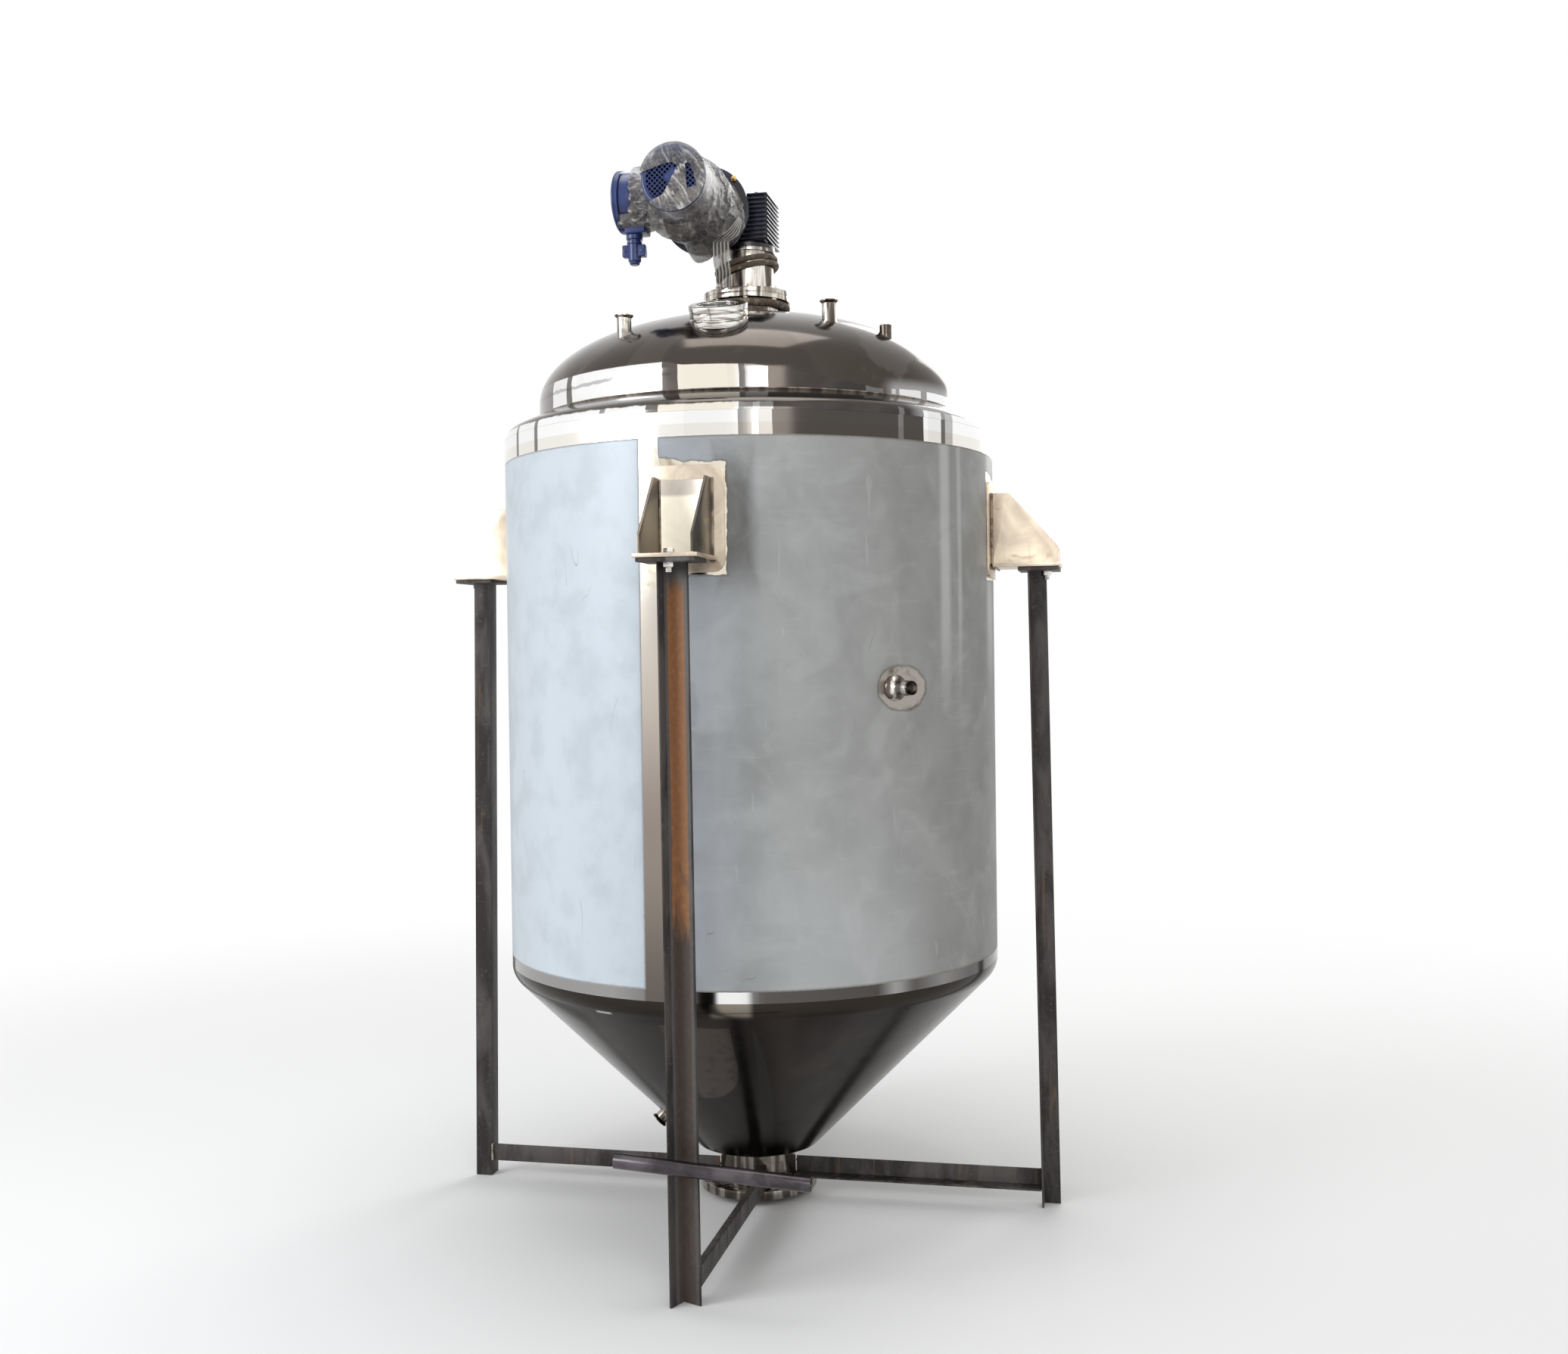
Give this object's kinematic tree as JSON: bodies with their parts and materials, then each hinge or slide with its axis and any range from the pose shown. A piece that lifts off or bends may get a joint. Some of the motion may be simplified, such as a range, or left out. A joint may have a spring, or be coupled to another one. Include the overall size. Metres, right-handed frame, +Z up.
{
  "type": "settling tank",
  "caption": "Upright jacketed process tank with a dished head, a cone bottom, bracket lugs on angle iron legs and a geared stirrer drive on top.",
  "frame": {"origin": "on the floor under the tank's axis", "axes": "+Z up along the tank's axis, -Y towards the front lug, where the drive motor points, +X towards the right lug"},
  "size_m": [1.78, 1.8089, 2.9427],
  "materials": {
    "filmed_steel": "stainless sheet under clear protective film",
    "polished_steel": "bright stainless",
    "mill_steel": "bare mill scale with rust",
    "blue_paint": "gloss enamel",
    "sight_glass": "clear",
    "stretch_film": "clear crinkled stretch film",
    "rope": "three strand rope"
  },
  "bodies": {
    "root": {"wall_front": "filmed_steel", "wall_right": "filmed_steel", "wall_rear": "filmed_steel", "wall_left": "filmed_steel", "shoulder_ring": "polished_steel", "dished_head": "polished_steel", "cone_bottom": "polished_steel", "outlet_neck": "polished_steel", "outlet_flange": "polished_steel", "agitator_nozzle": "polished_steel", "sight_glass_body": "polished_steel", "sight_glass_ring": "polished_steel", "sight_glass_pane": "sight_glass", "nozzle_left": "polished_steel", "nozzle_right": "polished_steel", "threaded_socket": "polished_steel", "side_nozzle": "polished_steel", "cone_nozzle": "polished_steel", "lug_pad_front": "polished_steel", "lug_pad_right": "polished_steel", "lug_pad_rear": "polished_steel", "lug_pad_left": "polished_steel", "lug_front": "polished_steel", "lug_right": "polished_steel", "lug_rear": "polished_steel", "lug_left": "polished_steel", "leg_front": "mill_steel", "leg_right": "mill_steel", "leg_rear": "mill_steel", "leg_left": "mill_steel", "brace_front": "mill_steel", "brace_right": "mill_steel", "brace_rear": "mill_steel", "brace_left": "mill_steel", "cross_pipe": "mill_steel", "lantern": "polished_steel", "gearbox": "blue_paint", "input_flange": "blue_paint", "motor": "blue_paint", "fan_cover": "blue_paint", "terminal_box": "blue_paint", "terminal_lid": "blue_paint", "cable_gland": "blue_paint", "film_wrap": "stretch_film", "rope_upper": "rope", "rope_lower": "rope"}
  },
  "joints": []
}
